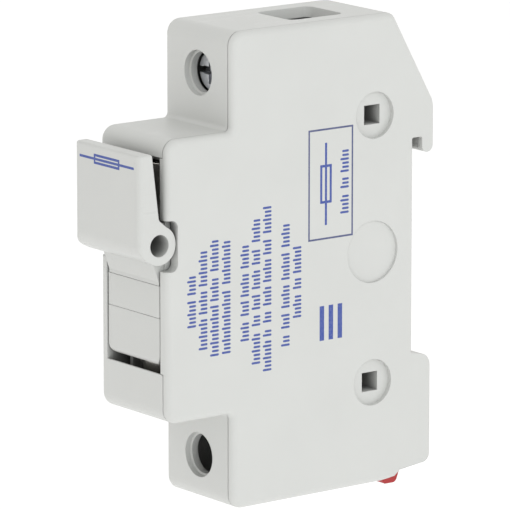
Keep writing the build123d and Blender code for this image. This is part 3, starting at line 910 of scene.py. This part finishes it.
@dataclass
class HousingAssembly(SubAssembly):
    """The two housing shells, with the blue print on the cover."""

    tick_width: float = 0.36 * MM
    tick_pitch: float = 0.64 * MM
    tick_height: float = 1.35 * MM
    short_tick: float = 0.72
    long_every: int = 3
    group_gap: float = 0.75 * MM
    frame_low: Point = (-20.8 * MM, 3.3 * MM)
    frame_high: Point = (-11.9 * MM, 21.1 * MM)
    frame_stroke: float = 0.3 * MM
    symbol_across: float = -17.3 * MM
    symbol_half_width: float = 1.15 * MM
    symbol_half_height: float = 3.1 * MM
    symbol_reach: float = 6.6 * MM
    symbol_stroke: float = 0.42 * MM
    beside_symbol: float = -13.6 * MM
    beside_share: float = 0.8
    bands: int = 3
    band_low: Point = (-18.5 * MM, -13.0 * MM)
    band_high: Point = (-14.0 * MM, -7.4 * MM)

    def nodes(self) -> tuple[str, ...]:
        """The two shells."""
        return ("housing_tub", "housing_cover")

    def frame_middle(self) -> float:
        """The height of the printed frame's middle."""
        return (self.frame_low[1] + self.frame_high[1]) / 2

    def lines(self) -> list[PrintedLine]:
        """The lines of ticks, from the nose to the back.

        Returns:
            The lines, the one beside the symbol last.
        """
        # Place across, lowest and highest point in millimetres, and the relative lengths of the groups.
        rows = (
            (-43.6, -7.6, 0.6, (2.4, 1.6)),
            (-41.4, -11.4, 4.3, (3.2, 2.4, 3.6)),
            (-39.2, -12.7, 6.0, (4.4, 2.2, 2.8)),
            (-36.9, -12.6, 5.8, (6.6, 4.6)),
            (-33.3, -11.1, 4.2, (2.0, 1.4, 2.3, 2.2)),
            (-31.1, -15.1, 8.6, (3.4, 1.2, 1.6, 2.0, 1.8, 2.6)),
            (-28.9, -16.5, 10.3, (2.9, 0.9, 1.2, 1.8, 2.2, 1.6, 2.8)),
            (-25.3, -13.0, 6.9, (1.4, 1.7, 2.5, 3.0, 2.6)),
            (-23.0, -8.7, 3.0, (2.6, 1.2, 3.0)),
        )
        lines = [PrintedLine(y * MM, low * MM, high * MM, groups) for y, low, high, groups in rows]
        middle = self.frame_middle()
        reach = self.symbol_reach * self.beside_share
        lines.append(PrintedLine(self.beside_symbol, middle - reach, middle + reach, (2.2, 1.2, 2.6)))
        return lines

    def extras(self) -> list[Piece]:
        """Prints the cover.

        Returns:
            The dark print and the thin frame.
        """
        face_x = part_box("housing_cover")[1].x
        printer = FlatPrinter(Vector((face_x, 0, 0)), across=Vector((0, 1, 0)), up=Vector((0, 0, 1)))
        dark = bmesh.new()
        for line in self.lines():
            self.print_line(printer, dark, line)
        FuseSymbol(
            centre=(self.symbol_across, self.frame_middle()),
            half_length=self.symbol_half_height,
            half_width=self.symbol_half_width,
            reach=self.symbol_reach,
            stroke=self.symbol_stroke,
            upright=True,
        ).draw(printer, dark)
        self.print_bands(printer, dark)
        thin = bmesh.new()
        printer.border(thin, self.frame_low, self.frame_high, self.frame_stroke)
        pieces = [
            mesh_object("side_print", dark, self.finishes.ink),
            mesh_object("side_frame", thin, self.finishes.faint_ink),
        ]
        return [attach(piece, Body.HOUSING.value) for piece in pieces]

    def print_line(self, printer: FlatPrinter, mesh: Mesh, line: PrintedLine) -> None:
        """Prints one line of ticks, in groups with gaps between them.

        Args:
            printer: The face's printer.
            mesh: The bmesh that gets the ticks.
            line: The line.
        """
        room = line.high - line.low - self.group_gap * (len(line.groups) - 1)
        unit = room / sum(line.groups)
        foot = line.across + self.tick_height / 2
        place = line.low
        for length in line.groups:
            for k in range(max(1, round(length * unit / self.tick_pitch))):
                height = self.tick_height * (self.short_tick if k % self.long_every else 1.0)
                up = place + (k + 0.5) * self.tick_pitch
                printer.bar(mesh, (foot - height, up), (foot, up), self.tick_width)
            place += length * unit + self.group_gap

    def print_bands(self, printer: FlatPrinter, mesh: Mesh) -> None:
        """Prints plain bands below the frame, as wide as the gaps between them.

        Args:
            printer: The face's printer.
            mesh: The bmesh that gets them.
        """
        (left, bottom), (right, top) = self.band_low, self.band_high
        width = (right - left) / (2 * self.bands - 1)
        for k in range(self.bands):
            start = left + 2 * k * width
            printer.block(mesh, (start, bottom), (start + width, top))


@dataclass
class CarrierAssembly(SubAssembly):
    """The hinged carrier, its blank window and the pull handle with its printed symbol."""

    mark_height: float = 18.55 * MM
    mark_half_length: float = 3.4 * MM
    mark_half_width: float = 0.8 * MM
    mark_reach: float = 7.2 * MM
    mark_stroke: float = 0.4 * MM

    def nodes(self) -> tuple[str, ...]:
        """The carrier's plastic parts."""
        return ("fuse_carrier", "pull_handle", "indicator_blank")

    def extras(self) -> list[Piece]:
        """Prints a small fuse symbol along the top of the pull tab.

        Returns:
            The print.
        """
        face_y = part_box("pull_handle")[0].y
        printer = FlatPrinter(Vector((0, face_y, 0)), across=Vector((1, 0, 0)), up=Vector((0, 0, 1)))
        mesh = bmesh.new()
        FuseSymbol(
            centre=(0.0, self.mark_height),
            half_length=self.mark_half_length,
            half_width=self.mark_half_width,
            reach=self.mark_reach,
            stroke=self.mark_stroke,
        ).draw(printer, mesh)
        return [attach(mesh_object("tab_print", mesh, self.finishes.ink), Body.CARRIER.value)]


@dataclass
class FuseCartridge(SubAssembly):
    """The cartridge: its caps, tube, element, solder and filler, and the printed sleeve."""

    paper: Colour = (0.86, 0.85, 0.8)
    ring: Colour = (0.08, 0.13, 0.4)
    clearance: float = 0.01 * MM
    thickness: float = 0.06 * MM
    margin: float = 0.8 * MM
    ring_gap: float = 2.2 * MM
    ring_half_height: float = 0.6 * MM
    sides: int = 96

    def nodes(self) -> tuple[str, ...]:
        """The cartridge's parts."""
        kinds = ("cap_upper", "cap_lower", "tube", "element", "solder", "filler")
        return tuple(f"fuse_{kind}" for kind in kinds)

    def extras(self) -> list[Piece]:
        """Rolls the sleeve between the two end caps.

        Returns:
            The sleeve.
        """
        tube_low, tube_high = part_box("fuse_tube")
        centre_y = (tube_low.y + tube_high.y) / 2
        inner = (tube_high.x - tube_low.x) / 2 + self.clearance
        outer = inner + self.thickness
        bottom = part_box("fuse_cap_lower")[1].z + self.margin
        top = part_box("fuse_cap_upper")[0].z - self.margin
        section = ((inner, bottom), (outer, bottom), (outer, top), (inner, top))
        finish = BandedSleeve(
            name="fuse_sleeve",
            paper=self.paper,
            ring=self.ring,
            ring_heights=(bottom + self.ring_gap, top - self.ring_gap),
            ring_half_height=self.ring_half_height,
        )
        mesh = self.turned(section, centre_y)
        piece = mesh_object("fuse_sleeve", mesh, finish.material(self.finishes.effects))
        return [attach(piece, Body.CARRIER.value)]

    def turned(self, section: Sequence[Point], centre_y: float) -> Mesh:
        """Turns a closed section about an upright axis on the middle plane.

        Args:
            section: The section's corners, as (radius, height).
            centre_y: The axis's place from front to back.

        Returns:
            The turned ring.
        """
        mesh = bmesh.new()
        rings = []
        for angle in circle_angles(self.sides):
            x, y = math.cos(angle), math.sin(angle)
            rings.append([mesh.verts.new((r * x, centre_y + r * y, z)) for r, z in section])
        for k, near in enumerate(rings):
            far = rings[(k + 1) % len(rings)]
            for i in range(len(section)):
                after = (i + 1) % len(section)
                mesh.faces.new((near[i], far[i], far[after], near[after]))
        return mesh


@dataclass
class Terminal(SubAssembly):
    """One end's contact, jaw spring, clamping cage, pressure pad and screw."""

    side: Side = Side.UPPER

    def nodes(self) -> tuple[str, ...]:
        """The terminal's parts."""
        kinds = ("contact", "contact_spring", "clamp_cage", "clamp_pad", "terminal_screw")
        return tuple(f"{kind}_{self.side.value}" for kind in kinds)


@dataclass
class RailClipAssembly(SubAssembly):
    """The sliding rail clip and its cold-wound compression spring."""

    turns: float = 8.0
    wire_r: float = 0.2 * MM
    wire_sides: int = 10
    steps_per_turn: int = 28
    slide: str = "rail_clip_slide"

    def nodes(self) -> tuple[str, ...]:
        """The clip and the plain spring that the wound one stands for."""
        return ("din_clip", "clip_spring")

    def travel(self) -> float:
        """The distance that the clip slides from rest to its limit."""
        return next(joint["range_m"][1] for joint in frame["joints"] if joint["name"] == self.slide)

    def extras(self) -> list[Piece]:
        """Winds the spring, with closed end turns.

        Returns:
            The spring.
        """
        low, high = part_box("clip_spring")
        mesh = bmesh.new()
        tube_along(mesh, self.winding(low, high), self.wire_r, self.wire_sides)
        piece = mesh_object("wound_clip_spring", mesh, self.finishes.by_slot["spring_steel"])
        shade_smooth(piece)
        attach(piece, Body.HOUSING.value)
        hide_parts("clip_spring")
        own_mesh(piece)
        return [piece]

    def winding(self, low: Vector, high: Vector) -> list[Vector]:
        """The wire's centreline, with one closed turn at each end.

        Args:
            low: The spring's lowest corner.
            high: The spring's highest corner.

        Returns:
            Points from the bottom turn to the top turn.
        """
        middle_y = (low.y + high.y) / 2
        coil_r = (high.x - low.x) / 2 - self.wire_r
        bottom, top = low.z + self.wire_r, high.z - self.wire_r
        closed_rise = 2 * self.wire_r
        open_turns = self.turns - 2.0
        open_rise = top - bottom - 2 * closed_rise
        path = []
        for k in range(int(self.turns * self.steps_per_turn) + 1):
            turn = k / self.steps_per_turn
            rise = min(turn, 1.0) * closed_rise
            rise += min(max(turn - 1.0, 0.0), open_turns) / open_turns * open_rise
            rise += max(turn - self.turns + 1.0, 0.0) * closed_rise
            x, y = coil_r * math.cos(2 * math.pi * turn), coil_r * math.sin(2 * math.pi * turn)
            path.append(Vector((x, y + middle_y, bottom + rise)))
        return path


# ---------------------------------------------------------------- light and camera


@dataclass(frozen=True)
class AreaLight:
    """A soft square light: its place, side, power in watts and tint."""

    name: str
    place: Place
    side: float
    power: float
    tint: Colour

    def hang(self, aim: Vector) -> None:
        """Adds the light to the scene.

        Args:
            aim: The point that it faces.
        """
        data = bpy.data.lights.new(self.name, "AREA")
        data.color = self.tint
        data.size = self.side
        data.energy = self.power
        light = bpy.data.objects.new(self.name, data)
        light.location = self.place
        light.rotation_euler = (Vector(self.place) - aim).to_track_quat("Z", "Y").to_euler()
        bpy.context.scene.collection.objects.link(light)


@dataclass(frozen=True)
class Studio:
    """Pale floor, soft light and the camera."""

    azimuth: float = math.radians(52.99)
    elevation: float = math.radians(11.907)
    distance: float = 893.43 * MM
    aim_across: float = -19.623 * MM
    aim_up: float = -2.922 * MM
    lens: float = 391.8
    sensor: float = 36.0
    floor_drop: float = 95 * MM
    floor_size: float = 6.0
    floor_grey: Colour = (0.9, 0.9, 0.9)
    floor_roughness: float = 0.9
    floor_glow: float = 0.27
    sky_white: Colour = (1.0, 1.0, 0.99)
    sky_front: float = 0.66
    sky_front_span: Point = (-0.9, 0.3)
    sky_overhead: float = 0.88
    sky_overhead_span: Point = (0.35, 0.9)
    light_aim: Place = (0, -20 * MM, 0)
    lights: tuple[AreaLight, ...] = (
        AreaLight("key", (0.95, -0.2, 0.35), 0.6, 1.65, (0.93, 0.98, 1.0)),
        AreaLight("front_fill", (-0.1, -0.8, 0.8), 0.7, 1.05, (1.0, 0.985, 0.95)),
    )

    def camera(self) -> None:
        """Places the scene's camera."""
        across = Vector((math.cos(self.azimuth), math.sin(self.azimuth), 0))
        flat = math.cos(self.elevation)
        back = Vector(
            (math.sin(self.azimuth) * flat, -math.cos(self.azimuth) * flat, math.sin(self.elevation))
        )
        target = across * self.aim_across + Vector((0, 0, self.aim_up))
        data = bpy.data.cameras.new("camera")
        data.lens = self.lens
        data.sensor_width = self.sensor
        data.clip_start = 0.01
        data.clip_end = 50
        camera = bpy.data.objects.new("camera", data)
        camera.location = target + back * self.distance
        camera.rotation_euler = back.to_track_quat("Z", "Y").to_euler()
        bpy.context.scene.collection.objects.link(camera)
        bpy.context.scene.camera = camera

    def world(self) -> None:
        """Surrounds the object with white that is dimmer in front and overhead."""
        world = bpy.data.worlds.new("studio_white")
        world.use_nodes = True
        tree = world.node_tree
        background = next(node for node in tree.nodes if node.type == "BACKGROUND")
        coordinates = tree.nodes.new("ShaderNodeTexCoord")
        split = tree.nodes.new("ShaderNodeSeparateXYZ")
        link(tree, coordinates.outputs["Generated"], split.inputs[0])
        front = spread_value(tree, split.outputs["Y"], self.sky_front, 1.0, self.sky_front_span)
        overhead = spread_value(tree, split.outputs["Z"], 1.0, self.sky_overhead, self.sky_overhead_span)
        link(tree, add_math(tree, "MULTIPLY", front, overhead), background.inputs["Strength"])
        background.inputs["Color"].default_value = (*self.sky_white, 1.0)
        bpy.context.scene.world = world

    def floor(self) -> None:
        """Lays the pale floor below the object, faintly lit from within so that it stays white."""
        height = CAD_BOUNDS[0][2] - self.floor_drop
        half = self.floor_size / 2
        mesh = bmesh.new()
        corners = ((-half, -half), (half, -half), (half, half), (-half, half))
        mesh.faces.new([mesh.verts.new((x, y, height)) for x, y in corners])
        material, _, shader = start_material("pale_floor")
        shader.inputs["Base Color"].default_value = (*self.floor_grey, 1.0)
        shader.inputs["Roughness"].default_value = self.floor_roughness
        shader.inputs["Emission Color"].default_value = (1.0, 1.0, 1.0, 1.0)
        shader.inputs["Emission Strength"].default_value = self.floor_glow
        mesh_object("floor", mesh, material)

    def build(self) -> None:
        """Sets the whole stage."""
        self.camera()
        self.world()
        self.floor()
        for light in self.lights:
            light.hang(Vector(self.light_aim))
        bpy.context.scene.view_settings.view_transform = "Standard"


def main() -> None:
    """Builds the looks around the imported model."""
    logging.basicConfig(level=logging.INFO, format="%(name)s: %(message)s")
    finishes = Finishes(Effects())
    Studio().build()
    assemblies = (
        HousingAssembly(finishes),
        CarrierAssembly(finishes),
        FuseCartridge(finishes),
        Terminal(finishes, Side.UPPER),
        Terminal(finishes, Side.LOWER),
        RailClipAssembly(finishes),
    )
    for assembly in assemblies:
        for piece in assembly.build():
            LOG.info("piece %s", piece.name)
    dressed = {name for assembly in assemblies for name in assembly.nodes()}
    for name in sorted(set(frame["nodes"]) - dressed):
        LOG.warning("node %s has no finish", name)


if __name__ == "__main__":
    main()
